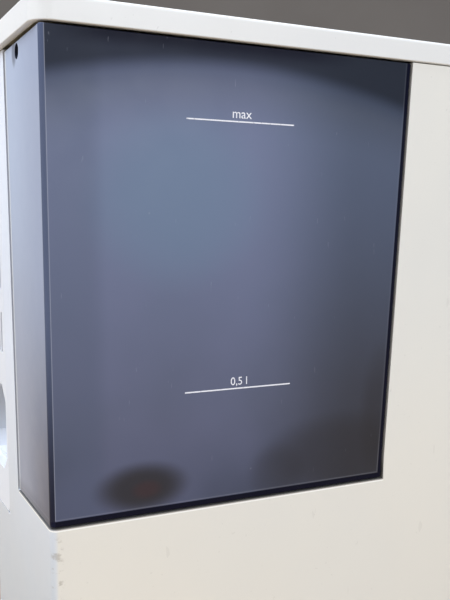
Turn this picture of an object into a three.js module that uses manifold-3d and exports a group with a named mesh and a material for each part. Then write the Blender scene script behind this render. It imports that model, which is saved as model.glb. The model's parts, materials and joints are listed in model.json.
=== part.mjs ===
// Resin wash station: a table-top cabinet with a smoked liquid tank let into its rear left corner,
// a wash tub with a basket and a magnetically driven impeller, a pump with a filter, a rear service
// panel with louvres and a power inlet, a drain tap in a niche, and a crowned lid hinged at the rear.
// Millimetres, +Z up, +Y to the rear, +X to the right. The origin is the centre of the bounding box's
// underside, which is the surface that the feet stand on.
import * as THREE from 'three';
import { mergeVertices } from 'three/addons/utils/BufferGeometryUtils.js';
import Module from 'manifold-3d';

const wasm = await Module();
wasm.setup();

// ---------- driving dimensions ----------
const GAP = 0.3; // between neighbouring pieces
const WALL = 3; // housing wall
const HALF_WIDTH = 120; // housing
const FRONT = -160; // housing front face
const REAR = 171.5; // housing rear face at the height of the tank's foot
const SKIRT = 8; // height of the housing's lower edge
const TOP = 332.5; // height of the housing's upper edge
const PLAN_RADIUS = 3.5; // housing's vertical corners

const TANK_FOOT = 119.9; // height of the tank's underside
const TANK_TOP = 332;
const TANK_LEFT = -120;
const TANK_RIGHT = -53.5; // tank's right face at its top
const TANK_RIGHT_LEAN = 0.031; // how far that face moves left per unit of depth below the top
const TANK_WALL = 2.5;
const TANK_FLOOR = 5;
const TANK_FRONT = -3.5; // tank's front face at its foot
const TANK_FRONT_LEAN = 0.0562; // how far that face moves forward per unit of height
const REAR_LEAN = 0.0136; // how far every rear face moves back per unit of height
const BAY_CLEARANCE = 2; // between tank and housing at the right
const BAY_FRONT_CLEARANCE = 0.4; // between tank and housing at the front
const BAY_LIP = 0.8; // height of the lip along the open edges of the bay's floor

const DECK = 321.7; // underside of the top deck
const LID_FOOT = 333.05; // lid's lower edge
const LINER_FOOT = 332.6; // underside of the pad in the middle of the lid's liner
const LID_SIDE = 10.6; // height of the lid's side
const LID_CROWN = 9.2; // rise of the lid's middle above its sides
const LID_HALF_WIDTH = 121;
const LID_FRONT = -166;
const LID_REAR = 177.2;
const HINGE_CENTRES = [-25, 85];
const HINGE_AXIS = { y: 174, z: 329.4 };

const TUB = { x0: -35, x1: 100, y0: -115, y1: 35, floor: 140, rim: 328.5, wall: 2.5, radius: 16 };
const DRIVE = { x: 32.5, y: -40 };
const VALVE = { x: -86, y: 118 };
const FLOAT = { x: -72, y: 14 };
const NICHE = { x0: -5, y0: 140, top: 80 };
const DRAIN = { x: 56, z: 48 };
const SHELF = 83.4; // underside of the service shelf
const PANEL = { x0: -37, x1: 112, z0: 100, z1: 319 };
const INLET = { x0: -34, x1: 22, z0: 121, z1: 166, depth: 13, slope: 6 };
const FASCIA = { x0: -113, x1: 113, z0: 260, z1: 324 };
const KNOB = { x: 74, z: 292 };
const BUTTON = { x: -78, z: 292 };

// ---------- materials ----------
const paint = (color, roughness, metalness = 0) =>
  new THREE.MeshStandardMaterial({ color, roughness, metalness });
const WHITE = 0xdcd9cf;
const CREAM = 0xc9bfa6;
const DARK = 0x1c1e24;
const SMOKE = 0x4c5266;
const STEEL = 0x9a9ea3;
const RUBBER = 0x26262a;
const BOARD = 0x1f5a3a;
const CLEAR = 0xc8d4dc;

// ---------- geometry helpers ----------
const root = new THREE.Group();

// Welds a geometry's corners, drops empty triangles and turns its faces outwards.
function welded(geometry) {
  const plain = geometry.index ? geometry.toNonIndexed() : geometry.clone();
  plain.deleteAttribute('normal');
  plain.deleteAttribute('uv');
  const merged = mergeVertices(plain, 1e-4);
  const position = merged.getAttribute('position');
  const kept = [];
  let volume = 0;
  for (let i = 0; i < merged.index.count; i += 3) {
    const [a, b, c] = [0, 1, 2].map((k) => merged.index.getX(i + k));
    if (a === b || b === c || c === a) continue;
    kept.push(a, b, c);
    const [p, q, r] = [a, b, c].map((v) => new THREE.Vector3().fromBufferAttribute(position, v));
    volume += p.dot(q.cross(r));
  }
  if (volume < 0) kept.reverse();
  merged.setIndex(kept);
  return merged;
}

function solid(geometry) {
  const mesh = welded(geometry);
  return new wasm.Manifold(new wasm.Mesh({
    numProp: 3,
    vertProperties: new Float32Array(mesh.getAttribute('position').array),
    triVerts: new Uint32Array(mesh.index.array),
  }));
}

function shell(manifold) {
  const mesh = manifold.getMesh();
  const geometry = new THREE.BufferGeometry();
  geometry.setAttribute('position', new THREE.BufferAttribute(mesh.vertProperties.slice(), 3));
  geometry.setIndex(Array.from(mesh.triVerts));
  return geometry;
}

// Joins the first list of geometries and cuts the second list away.
function carve(joined, cut = []) {
  let body = solid(joined[0]);
  for (const geometry of joined.slice(1)) body = body.add(solid(geometry));
  for (const geometry of cut) body = body.subtract(solid(geometry));
  return shell(body);
}

const common = (a, b) => shell(solid(a).intersect(solid(b)));

function block(x0, x1, y0, y1, z0, z1) {
  const geometry = new THREE.BoxGeometry(x1 - x0, y1 - y0, z1 - z0);
  return geometry.translate((x0 + x1) / 2, (y0 + y1) / 2, (z0 + z1) / 2);
}

// A rectangle with round corners.
function roundRect(a0, a1, b0, b1, radius) {
  const shape = new THREE.Shape();
  const quarter = Math.PI / 2;
  shape.absarc(a1 - radius, b1 - radius, radius, 0, quarter);
  shape.absarc(a0 + radius, b1 - radius, radius, quarter, 2 * quarter);
  shape.absarc(a0 + radius, b0 + radius, radius, 2 * quarter, 3 * quarter);
  shape.absarc(a1 - radius, b0 + radius, radius, 3 * quarter, 4 * quarter);
  return shape;
}

const outline = (points) => new THREE.Shape(points.map(([a, b]) => new THREE.Vector2(a, b)));

function extruded(shape, depth, curveSegments = 2) {
  return new THREE.ExtrudeGeometry(shape, { depth, bevelEnabled: false, curveSegments });
}

// A shape drawn in plan, from height z0 to z1.
const plate = (shape, z0, z1, curveSegments) =>
  extruded(shape, z1 - z0, curveSegments).translate(0, 0, z0);

// A shape drawn in (y, z), from x0 to x1.
function sideways(shape, x0, x1, curveSegments) {
  const geometry = extruded(shape, x1 - x0, curveSegments);
  geometry.applyMatrix4(new THREE.Matrix4().makeBasis(
    new THREE.Vector3(0, 1, 0), new THREE.Vector3(0, 0, 1), new THREE.Vector3(1, 0, 0)));
  return geometry.translate(x0, 0, 0);
}

// A shape drawn in (x, z), from y0 back to y1.
function upright(shape, y0, y1, curveSegments) {
  const geometry = extruded(shape, y1 - y0, curveSegments);
  geometry.rotateX(Math.PI / 2);
  return geometry.translate(0, y1, 0);
}

// A profile of (radius, height) points turned about a vertical axis.
function turned(profile, x, y, segments = 20) {
  const points = profile.map(([r, z]) => new THREE.Vector2(r, z));
  const geometry = new THREE.LatheGeometry(points, segments);
  return geometry.rotateX(Math.PI / 2).translate(x, y, 0);
}

const disc = (r, z0, z1, x, y, segments) =>
  turned([[0, z0], [r, z0], [r, z1], [0, z1]], x, y, segments);

const ring = (r0, r1, z0, z1, x, y, segments) =>
  turned([[r0, z0], [r1, z0], [r1, z1], [r0, z1], [r0, z0]], x, y, segments);

// The same, turned about an axis along Y through (x, z).
function turnedY(profile, x, z, segments = 20) {
  const points = profile.map(([r, y]) => new THREE.Vector2(r, y));
  return new THREE.LatheGeometry(points, segments).translate(x, 0, z);
}

const discY = (r, y0, y1, x, z, segments) =>
  turnedY([[0, y0], [r, y0], [r, y1], [0, y1]], x, z, segments);

// The same, turned about an axis along X through (y, z).
function discX(r, x0, x1, y, z, segments = 20) {
  const geometry = new THREE.CylinderGeometry(r, r, x1 - x0, segments);
  return geometry.rotateZ(Math.PI / 2).translate((x0 + x1) / 2, y, z);
}

// A round bar or hose along a smooth path.
function tube(points, radius, sides, steps) {
  const path = new THREE.CatmullRomCurve3(points.map((p) => new THREE.Vector3(...p)));
  const section = new THREE.Shape();
  section.absarc(0, 0, radius, 0, Math.PI * 2);
  return new THREE.ExtrudeGeometry(section, {
    steps, curveSegments: sides / 2, bevelEnabled: false, extrudePath: path,
  });
}

// Leans the rear of a piece back, as the whole rear of the object leans.
function leaned(geometry) {
  const position = geometry.getAttribute('position');
  for (let i = 0; i < position.count; i += 1) {
    const share = THREE.MathUtils.clamp(position.getY(i) / 100, 0, 1);
    const shift = share * REAR_LEAN * (position.getZ(i) - TANK_FOOT - 1);
    position.setY(i, position.getY(i) + shift);
  }
  return geometry;
}

function add(name, geometry, material) {
  const mesh = new THREE.Mesh(welded(geometry), material);
  mesh.name = name;
  root.add(mesh);
}

// ---------- shared outlines ----------
const housingPlan = (inset) => roundRect(
  inset - HALF_WIDTH, HALF_WIDTH - inset, FRONT + inset, REAR - inset, PLAN_RADIUS - inset / 2);

const lidPlan = (inset) => roundRect(
  inset - LID_HALF_WIDTH, LID_HALF_WIDTH - inset, LID_FRONT + inset, LID_REAR - inset,
  9 - inset / 2);

const tubPlan = (offset) => roundRect(
  TUB.x0 - offset, TUB.x1 + offset, TUB.y0 - offset, TUB.y1 + offset, TUB.radius + offset);

const tankFrontAt = (z) => TANK_FRONT - TANK_FRONT_LEAN * (z - TANK_FOOT - 1);

// The tank's outline from the side, grown by an offset, from height z0 to z1.
function tankSide(offset, z0, z1, rear = REAR + offset) {
  return outline([
    [rear, z0], [rear, z1], [tankFrontAt(z1) - offset, z1], [tankFrontAt(z0) - offset, z0],
  ]);
}

const tankRightAt = (z) => TANK_RIGHT - TANK_RIGHT_LEAN * (TANK_TOP - z);

// The same prism, cut off at its leaning right side.
function tankPrism(offset, z0, z1, left, right, rear) {
  const front = outline([
    [left, z0], [left, z1], [tankRightAt(z1) + right, z1], [tankRightAt(z0) + right, z0],
  ]);
  const side = sideways(tankSide(offset, z0, z1, rear), left, tankRightAt(z1) + right);
  return common(side, upright(front, tankFrontAt(z1) - 20, REAR + 30));
}

// ---------- housing ----------
const BAY_FLOOR = TANK_FOOT - 1.5;
const BAY_RIGHT = TANK_RIGHT + BAY_CLEARANCE;

function housing() {
  const outer = plate(housingPlan(0), SKIRT, TOP);
  const bay = tankPrism(
    BAY_FRONT_CLEARANCE + WALL, BAY_FLOOR - WALL, TOP, TANK_LEFT - 1, BAY_CLEARANCE + WALL, REAR);
  const bayWalls = common(outer, bay);
  const nicheWalls = common(outer, block(
    NICHE.x0 - WALL, HALF_WIDTH, NICHE.y0 - WALL, REAR, SKIRT, NICHE.top + WALL));
  const walls = carve([outer], [plate(housingPlan(WALL), 0, TOP + 10)]);
  const lip = BAY_FLOOR + BAY_LIP;
  const cuts = [
    tankPrism(
      BAY_FRONT_CLEARANCE, lip, TOP + 10, TANK_LEFT - 10, BAY_CLEARANCE, REAR + 20),
    tankPrism(
      BAY_FRONT_CLEARANCE, BAY_FLOOR, lip + 1, TANK_LEFT + 4, BAY_CLEARANCE, REAR - 4),
    block(NICHE.x0, HALF_WIDTH + 10, NICHE.y0, REAR + 20, 0, NICHE.top),
    block(PANEL.x0 - GAP, PANEL.x1 + GAP, REAR - 10, REAR + 10, PANEL.z0 - GAP, PANEL.z1 + GAP),
    disc(8, BAY_FLOOR - 10, BAY_FLOOR + 1, VALVE.x, VALVE.y, 16),
    discY(8, NICHE.y0 - 10, NICHE.y0 + 5, DRAIN.x, DRAIN.z, 16),
    discY(5, FRONT - 5, FRONT + 10, KNOB.x, KNOB.z, 16),
    discY(9.8, FRONT - 5, FRONT + 10, BUTTON.x, BUTTON.z, 20),
  ];
  for (const x of HINGE_CENTRES) {
    cuts.push(block(x - 13.5, x + 13.5, REAR - 10, REAR + 10, 322, TOP + 5));
  }
  add('housing_shell', leaned(carve([walls, bayWalls, nicheWalls], cuts)), paint(WHITE, 0.45));
}

function basePlate() {
  const sheet = plate(housingPlan(WALL + GAP), 10.3, 13.3);
  const niche = block(
    NICHE.x0 - WALL - GAP, HALF_WIDTH + 10, NICHE.y0 - WALL - GAP, REAR + 10, 0, 20);
  add('base_plate', leaned(carve([sheet], [niche])), paint(STEEL, 0.5, 0.6));
}

function feet() {
  const places = {
    front_left: [-95, -136], front_right: [95, -136], rear_left: [-95, 146], rear_right: [95, 112],
  };
  for (const [name, [x, y]] of Object.entries(places)) {
    const profile = [[0, 0], [10, 0], [11.5, 1.5], [9.5, 10], [0, 10]];
    add(`foot_${name}`, turned(profile, x, y, 20), paint(RUBBER, 0.9));
  }
}

function topDeck() {
  const sheet = plate(housingPlan(WALL + GAP), DECK, DECK + 3);
  const cuts = [
    sideways(tankSide(BAY_FRONT_CLEARANCE + WALL + GAP, DECK - 5, DECK + 8, REAR + 10),
      TANK_LEFT - 10, BAY_RIGHT + WALL + GAP),
    plate(tubPlan(TUB.wall + 2 * GAP), DECK - 5, DECK + 8),
    block(BAY_RIGHT, HALF_WIDTH + 5, 163, REAR + 10, DECK - 5, DECK + 8),
  ];
  add('top_deck', carve([sheet], cuts), paint(WHITE, 0.5));
}

function serviceShelf() {
  const sheet = common(
    block(BAY_RIGHT + WALL + GAP, HALF_WIDTH, 45, 164, SHELF, SHELF + 3),
    plate(housingPlan(WALL + 2 * GAP), SHELF - 5, SHELF + 8));
  const holes = [disc(9, SHELF - 5, SHELF + 8, -15, 80, 16)];
  add('service_shelf', carve([sheet], holes), paint(STEEL, 0.5, 0.6));
}

// ---------- rear service panel ----------
const LOUVRE = { width: 2.7, pitch: 5.4, count: 24, height: 20.6, rows: [183.6, 216.4, 249.2] };
const PANEL_SCREWS = [[-6, 106], [104, 106], [-6, 312], [104, 312]];

// The inlet recess's outline: a rectangle with its corners cut off.
function recess(inset) {
  const { x0, x1, z0, z1, slope } = INLET;
  const [a, b, c, d] = [x0 + inset, x1 - inset, z0 + inset, z1 - inset];
  const cut = slope + 2;
  return outline([
    [a + cut, c], [b - cut, c], [b, c + cut], [b, d - cut], [b - cut, d], [a + cut, d],
    [a, d - cut], [a, c + cut],
  ]);
}

const SOCKET = { x0: -25, x1: 2, z0: 131, z1: 153 };
const ROCKER = { x0: 6.5, x1: 16.5, y: REAR - 15.5, z: 143.5 };

function servicePanel() {
  const back = REAR - INLET.depth;
  const sheet = upright(roundRect(PANEL.x0, PANEL.x1, PANEL.z0, PANEL.z1, 4), REAR - 3, REAR);
  const tray = upright(recess(-2), back - 2, REAR - 1);
  const cuts = [
    upright(recess(2), back, REAR - 4.5),
    upright(recess(0), REAR - 5, REAR + 5),
    block(SOCKET.x0 - GAP, SOCKET.x1 + GAP, back - 10, back + 5, SOCKET.z0 - GAP, SOCKET.z1 + GAP),
    block(ROCKER.x0 - 0.5, ROCKER.x1 + 0.5, back - 10, back + 5, ROCKER.z - 11, ROCKER.z + 11),
  ];
  for (const z of LOUVRE.rows) {
    for (let i = 0; i < LOUVRE.count; i += 1) {
      const x = -31 + i * LOUVRE.pitch;
      cuts.push(block(x, x + LOUVRE.width, REAR - 10, REAR + 10, z, z + LOUVRE.height));
    }
  }
  for (const [x, z] of PANEL_SCREWS) {
    cuts.push(discY(2, REAR - 10, REAR + 10, x, z, 12));
  }
  add('service_panel', leaned(carve([sheet, tray], cuts)), paint(WHITE, 0.45));
}

function panelScrews() {
  PANEL_SCREWS.forEach(([x, z], index) => {
    const profile = [
      [0, REAR - 9], [1.5, REAR - 9], [1.5, REAR + GAP], [3.2, REAR + GAP], [2.6, REAR + 2],
      [0, REAR + 2],
    ];
    const slot = block(x - 4, x + 4, REAR + 1.2, REAR + 4, z - 0.5, z + 0.5);
    const screw = carve([turnedY(profile, x, z, 14)], [slot]);
    add(`panel_screw_${index + 1}`, leaned(screw), paint(STEEL, 0.35, 0.9));
  });
}

function inlet() {
  const y1 = REAR - INLET.depth + 1.5;
  const body = block(SOCKET.x0, SOCKET.x1, y1 - 22, y1, SOCKET.z0, SOCKET.z1);
  const cavity = outline([
    [-23.5, 133], [0.5, 133], [0.5, 147], [-3.5, 150.5], [-19.5, 150.5], [-23.5, 147],
  ]);
  const socket = carve([body], [upright(cavity, y1 - 16, y1 + 5)]);
  const pins = [[-18.5, 140], [-4.5, 140], [-11.5, 144.5]].map(([x, z]) =>
    block(x - 1, x + 1, y1 - 17, y1 - 3, z - 2, z + 2));
  add('power_inlet', carve([socket, ...pins]), paint(DARK, 0.5));

  // A flat rocker, pivoted on an axis along X, tilted to its off side.
  const profile = outline([[-4, -6.5], [4.2, -8.8], [3, 0], [4.2, 8.8], [-4, 6.5]]);
  const rocker = sideways(profile, ROCKER.x0, ROCKER.x1);
  rocker.rotateX(THREE.MathUtils.degToRad(-8)).translate(0, ROCKER.y, ROCKER.z);
  add('power_rocker', rocker, paint(DARK, 0.4));
}

// ---------- tank ----------
function tank() {
  const outer = tankPrism(0, TANK_FOOT, TANK_TOP, TANK_LEFT, 0, REAR);
  const inner = tankPrism(
    -TANK_WALL, TANK_FOOT + TANK_FLOOR, TANK_TOP + 5, TANK_LEFT + TANK_WALL, -TANK_WALL,
    REAR - TANK_WALL);
  // The outer corner between the side face and the rear face is rounded in plan.
  const plan = roundRect(TANK_LEFT, TANK_RIGHT, -40, REAR, 2);
  const rounded = common(leaned(outer), leaned(plate(plan, TANK_FOOT, TANK_TOP)));
  const guide = disc(2.5, TANK_FOOT + 2, TANK_FOOT + 44, FLOAT.x, FLOAT.y, 12);
  const holes = [
    disc(7, TANK_FOOT - 5, TANK_FOOT + 10, VALVE.x, VALVE.y, 16),
    discY(BAIL.hole, REAR - 10, REAR + 10, BAIL.x, BAIL.z, 16),
    discY(BAIL.hole, -30, 0, BAIL.x, BAIL.z, 16),
  ];
  const hollow = carve([rounded], [leaned(inner), ...holes]);
  add('tank_shell', carve([hollow, guide]), paint(SMOKE, 0.35));
}

const BAIL = { x: -80, z: 327, bar: -111, height: 10, hole: 3.5 };

// The carrying handle lies folded in the tank's mouth: two arms and a long bar, on two pivots.
function tankHandle() {
  const [z0, z1] = [BAIL.z - 7.5, BAIL.z - 7.5 + BAIL.height];
  const rear = REAR + REAR_LEAN * (BAIL.z - TANK_FOOT) - TANK_WALL - 0.6;
  const front = tankFrontAt(BAIL.z) + TANK_WALL + 0.8;
  const strip = (inset) => {
    const shape = new THREE.Shape();
    const r = 22 - inset;
    shape.moveTo(BAIL.x + 6 - 3 * inset, rear - inset);
    shape.lineTo(BAIL.bar + 22, rear - inset);
    shape.absarc(BAIL.bar + 22, rear - 22, r, Math.PI / 2, Math.PI);
    shape.absarc(BAIL.bar + 22, front + 22, r, Math.PI, 1.5 * Math.PI);
    shape.lineTo(BAIL.x + 6 - 3 * inset, front + inset);
    return shape;
  };
  const outer = plate(strip(0), z0, z1, 5);
  const inner = plate(strip(4), z0 - 5, z1 + 5, 5);
  const middle = block(BAIL.x - 6, BAIL.x + 30, front + 4, rear - 4, z0 - 5, z1 + 5);
  const pins = [
    discY(2.8, rear - 2, rear + TANK_WALL - 0.6, BAIL.x, BAIL.z, 12),
    discY(2.8, front - TANK_WALL + 0.5, front + 2, BAIL.x, BAIL.z, 12),
  ];
  add('tank_handle', carve([carve([outer], [inner, middle]), ...pins]), paint(SMOKE, 0.4));
}

// The outlet valve: a low round cage on the tank's floor over a sprung poppet.
function tankValve() {
  const z = TANK_FOOT + TANK_FLOOR + GAP;
  const { x, y } = VALVE;
  const cage = turned([
    [9.4, z], [14.5, z], [14.5, z + 7], [12, z + 9], [2.4, z + 9], [2.4, z + 7], [9.4, z + 7],
    [9.4, z],
  ], x, y, 24);
  const slots = [0, 1].map((turn) => {
    const slot = block(-20, 20, -3.5, 3.5, z + 3, z + 6);
    return slot.rotateZ(turn * Math.PI / 2).translate(x, y, 0);
  });
  add('valve_cage', carve([cage], slots), paint(DARK, 0.6));

  const poppet = turned([
    [0, z - 5], [5.6, z - 5], [6.2, z], [8.6, z + 0.4], [8.6, z + 1.8], [1.9, z + 2.2],
    [1.9, z + 9.5], [0, z + 9.5],
  ], x, y, 20);
  add('valve_poppet', poppet, paint(RUBBER, 0.8));

  const points = [];
  const turns = 2.5;
  const stepsPerTurn = 12;
  for (let i = 0; i <= turns * stepsPerTurn; i += 1) {
    const angle = (i / stepsPerTurn) * Math.PI * 2;
    const height = z + 3 + (3.2 * i) / (turns * stepsPerTurn);
    points.push([x + 5 * Math.cos(angle), y + 5 * Math.sin(angle), height]);
  }
  add('valve_spring', tube(points, 0.5, 4, turns * stepsPerTurn), paint(STEEL, 0.3, 0.9));

  // The dock under the bay's floor, and the flat ring that seals it to the tank.
  const dock = turned([
    [5, 96], [7.3, 96], [7.3, 110], [14, 112], [14, BAY_FLOOR - WALL - GAP],
    [7.3, BAY_FLOOR - WALL - GAP], [7.3, BAY_FLOOR - GAP], [5, BAY_FLOOR - GAP], [5, 96],
  ], x, y, 20);
  add('tank_dock', dock, paint(DARK, 0.5));
  add('dock_seal', ring(8.6, 12, BAY_FLOOR + GAP, TANK_FOOT - GAP, x, y, 20), paint(RUBBER, 0.9));
}

function levelFloat() {
  const z = TANK_FOOT + TANK_FLOOR + GAP;
  add('level_float', ring(2.9, 9, z, z + 12, FLOAT.x, FLOAT.y, 18), paint(CREAM, 0.6));
}

// ---------- lid ----------
// The lid's cross-section: flat below, its top arched across the width.
function crowned(halfWidth, foot, side, rise) {
  const points = [[-halfWidth, foot], [halfWidth, foot]];
  const steps = 16;
  for (let i = 0; i <= steps; i += 1) {
    const t = 1 - (2 * i) / steps;
    points.push([t * halfWidth, side + rise * (1 - t * t)]);
  }
  return outline(points);
}

function lid() {
  const side = LID_FOOT + LID_SIDE;
  const outer = common(
    upright(crowned(LID_HALF_WIDTH, LID_FOOT, side, LID_CROWN), LID_FRONT, LID_REAR),
    plate(lidPlan(0), LID_FOOT, side + 20));
  const pocket = common(
    upright(crowned(LID_HALF_WIDTH, LID_FOOT - 5, side - WALL, LID_CROWN), LID_FRONT, LID_REAR),
    plate(lidPlan(WALL), LID_FOOT - 5, side + 20));
  add('lid_panel', carve([outer], [pocket]), paint(WHITE, 0.35));

  // The liner closes the lid from below; its pad carries the gasket and the hinge leaves.
  const sheet = plate(lidPlan(WALL + GAP), LID_FOOT + 2, LID_FOOT + 4);
  const pad = block(TUB.x0 - 8, TUB.x1 + 8, TUB.y0 - 8, 168, LINER_FOOT, LID_FOOT + 3);
  add('lid_liner', carve([sheet, pad]), paint(CREAM, 0.6));

  const seal = plate(tubPlan(6), TUB.rim + GAP, LINER_FOOT - GAP);
  const mouth = plate(tubPlan(1), TUB.rim - 5, LID_FOOT + 5);
  add('lid_gasket', carve([seal], [mouth]), paint(RUBBER, 0.8));
}

function hinges() {
  const { y, z } = HINGE_AXIS;
  const inside = REAR + REAR_LEAN * (300 - TANK_FOOT) - WALL;
  HINGE_CENTRES.forEach((x, index) => {
    const side = index === 0 ? 'left' : 'right';
    const barrels = [[x - 12, x - 5], [x + 5, x + 12]];
    const plateBody = block(x - 12, x + 12, inside - 3.4, inside - 0.6, 292, 325);
    const arms = barrels.map(([a, b]) => block(a, b, inside - 3.4, y, 322 + GAP, z));
    const tubes = barrels.map(([a, b]) => discX(2.8, a, b, y, z, 16));
    const bore = discX(1.5, x - 20, x + 20, y, z, 16);
    const bracket = carve([plateBody, ...arms, ...tubes], [bore]);
    add(`hinge_bracket_${side}`, bracket, paint(STEEL, 0.4, 0.8));
    add(`hinge_pin_${side}`, discX(1.2, x - 13, x + 13, y, z, 14), paint(STEEL, 0.3, 0.9));
    const leaf = block(x - 4.6, x + 4.6, y - 24, y, z + 1.4, LINER_FOOT - GAP);
    const knuckle = discX(2.8, x - 4.6, x + 4.6, y, z, 16);
    add(`hinge_leaf_${side}`, carve([leaf, knuckle], [bore]), paint(STEEL, 0.4, 0.8));
  });
}

// ---------- wash tub, basket and drive ----------
function washTub() {
  const { floor, rim, wall } = TUB;
  const body = plate(tubPlan(wall), floor - wall, rim);
  const flange = plate(tubPlan(8), DECK + 3 + GAP, rim);
  const cuts = [
    plate(tubPlan(0), 290, rim + 5),
    plate(tubPlan(-5), 284, 292),
    plate(tubPlan(0), floor, 285),
    disc(5, floor - 10, floor + 5, 80, 8, 14),
    discY(5, TUB.y1 - 5, TUB.y1 + 10, 20, 240, 14),
  ];
  add('wash_tub', carve([body, flange], cuts), paint(STEEL, 0.35, 0.9));
}

const BASKET = { x0: -28, x1: 93, y0: -108, y1: 28, floor: 166, rim: 293, wall: 2 };

function basket() {
  const { x0, x1, y0, y1, floor, rim, wall } = BASKET;
  const body = plate(roundRect(x0, x1, y0, y1, 12), floor, rim);
  const lip = plate(tubPlan(-1), 290 + GAP, rim);
  const cuts = [
    plate(roundRect(x0 + wall, x1 - wall, y0 + wall, y1 - wall, 10), floor + wall, rim + 5),
  ];
  const slotHeight = [floor + 12, rim - 12];
  for (let i = 0; i < 7; i += 1) {
    const x = x0 + 17 + i * 14;
    cuts.push(block(x, x + 4, y0 - 5, y1 + 5, ...slotHeight));
    cuts.push(block(x, x + 4, y0 + 16, y1 - 16, floor - 5, floor + 5));
  }
  for (let i = 0; i < 8; i += 1) {
    const y = y0 + 17 + i * 14;
    cuts.push(block(x0 - 5, x1 + 5, y, y + 4, ...slotHeight));
  }
  add('wash_basket', carve([body, lip], cuts), paint(STEEL, 0.4, 0.8));

  const y = (y0 + y1) / 2;
  const [a, b] = [x0 - 1.5, x1 + 1.5];
  const handle = tube([
    [a, y, rim + GAP], [a, y, rim + 18], [a + 10, y, rim + 28], [(a + b) / 2, y, rim + 30],
    [b - 10, y, rim + 28], [b, y, rim + 18], [b, y, rim + GAP],
  ], 2.4, 8, 24);
  add('basket_handle', handle, paint(STEEL, 0.3, 0.9));
}

function impeller() {
  const { x, y } = DRIVE;
  const z = TUB.floor + 2.5;
  const rotor = turned([
    [2.9, z], [36, z], [36, z + 2.5], [8, z + 2.5], [7, z + 13], [2.9, z + 13], [2.9, z],
  ], x, y, 28);
  const blades = [0, 1, 2, 3].map((turn) => {
    const blade = block(6, 33, -1.3, 1.3, z + 2, z + 11);
    return blade.rotateZ(turn * Math.PI / 2).translate(x, y, 0);
  });
  add('impeller', carve([rotor, ...blades]), paint(WHITE, 0.5));
  const pin = turned([
    [0, TUB.floor + GAP], [5, TUB.floor + GAP], [5, z - 0.6], [2.5, z - 0.5], [2.5, z + 13.4],
    [4.5, z + 13.4], [4.5, z + 15.4], [0, z + 15.4],
  ], x, y, 16);
  add('impeller_pin', pin, paint(STEEL, 0.3, 0.9));
}

function motor() {
  const { x, y } = DRIVE;
  const deck = block(x - 48, x + 48, y - 36, y + 36, 112, 115);
  const legs = [x - 48, x + 45].map((a) => block(a, a + 3, y - 36, y + 36, 13.6, 113));
  const bore = disc(10, 100, 120, x, y, 16);
  add('motor_bracket', carve([deck, ...legs], [bore]), paint(STEEL, 0.5, 0.6));
  const can = turned([
    [0, 60], [22, 60], [24, 62], [24, 111.7], [3.4, 111.7], [3.4, 94], [0, 94],
  ], x, y, 24);
  add('motor_case', can, paint(DARK, 0.5));
  const rotor = turned([
    [0, 94.5], [3, 94.5], [3, 117], [8, 117], [8, 122], [30, 122], [30, 134], [0, 134],
  ], x, y, 24);
  add('drive_magnet', rotor, paint(STEEL, 0.4, 0.8));
}

// ---------- liquid circuit ----------
const PUMP = { y: 95, z: 36 };
const FILTER = { x: -15, y: 80, foot: SHELF + 3 + GAP };

function circuit() {
  const { y, z } = PUMP;
  add('pump_head', discX(18.5, -32, -9, y, z, 24), paint(DARK, 0.5));
  const can = discX(16, -8.7, 40, y, z, 20);
  const foot = block(0, 34, y - 14, y + 14, 13.6, z - 8);
  add('pump_motor', carve([can, foot]), paint(STEEL, 0.4, 0.8));

  const { x: fx, y: fy, foot: f } = FILTER;
  add('filter_bowl', disc(22, f, f + 100, fx, fy, 20), paint(CLEAR, 0.3));
  const cap = turned([
    [0, f + 100.3], [24.5, f + 100.3], [24.5, f + 113], [20, f + 117], [0, f + 117],
  ], fx, fy, 20);
  add('filter_cap', cap, paint(DARK, 0.5));

  const clear = paint(CLEAR, 0.4);
  add('hose_tank_to_pump', tube([
    [VALVE.x, VALVE.y, 95.7], [VALVE.x, VALVE.y, 75], [VALVE.x + 8, VALVE.y - 12, 50],
    [-58, y, z], [-32.3, y, z],
  ], 5, 8, 20), clear);
  add('hose_pump_to_filter', tube([
    [-20, y, z + 19], [-20, y, z + 26], [-17, 84, 72], [fx, fy, 79], [fx, fy, f - 0.8],
  ], 4.5, 8, 12), clear);
  add('hose_filter_to_tub', tube([
    [fx, fy, f + 117.3], [fx, fy, f + 132], [-8, 75, f + 148], [12, 62, 240], [20, 50, 240],
    [20, TUB.y1 + TUB.wall + GAP, 240],
  ], 4.5, 8, 20), clear);
  add('hose_drain', tube([
    [80, 8, TUB.floor - TUB.wall - GAP], [80, 8, 115], [76, 22, 70], [68, 70, 52],
    [DRAIN.x, 115, DRAIN.z], [DRAIN.x, NICHE.y0 - 10, DRAIN.z],
  ], 6, 8, 24), clear);
}

// The tap in the niche: a body with a downward spout and a quarter-turn lever on top.
function drainTap() {
  const { x, z } = DRAIN;
  const body = carve(
    [
      discY(7.6, NICHE.y0 - 9.7, NICHE.y0 + GAP + 1, x, z, 16),
      discY(11, NICHE.y0 + GAP, NICHE.y0 + 18, x, z, 20),
    ],
    [disc(4, z + 3, z + 20, x, NICHE.y0 + 10, 14)]);
  add('drain_tap', body, paint(DARK, 0.5));

  const lever = carve([
    disc(3.6, z + 4, z + 14, x, NICHE.y0 + 10, 14),
    disc(8, z + 11.5, z + 16, x, NICHE.y0 + 10, 18),
    block(x, x + 24, NICHE.y0 + 6.5, NICHE.y0 + 13.5, z + 12, z + 16),
  ]);
  add('drain_lever', lever, paint(CREAM, 0.5));

  const y = NICHE.y0 + 18 + GAP;
  const spout = turnedY([
    [4.6, y], [8, y], [8, y + 2], [6.2, y + 2], [6.2, y + 8], [6.9, y + 9], [6.2, y + 11],
    [6.2, y + 15], [4.6, y + 15], [4.6, y],
  ], x, z, 18);
  add('drain_spout', spout, paint(DARK, 0.5));
}

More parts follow.
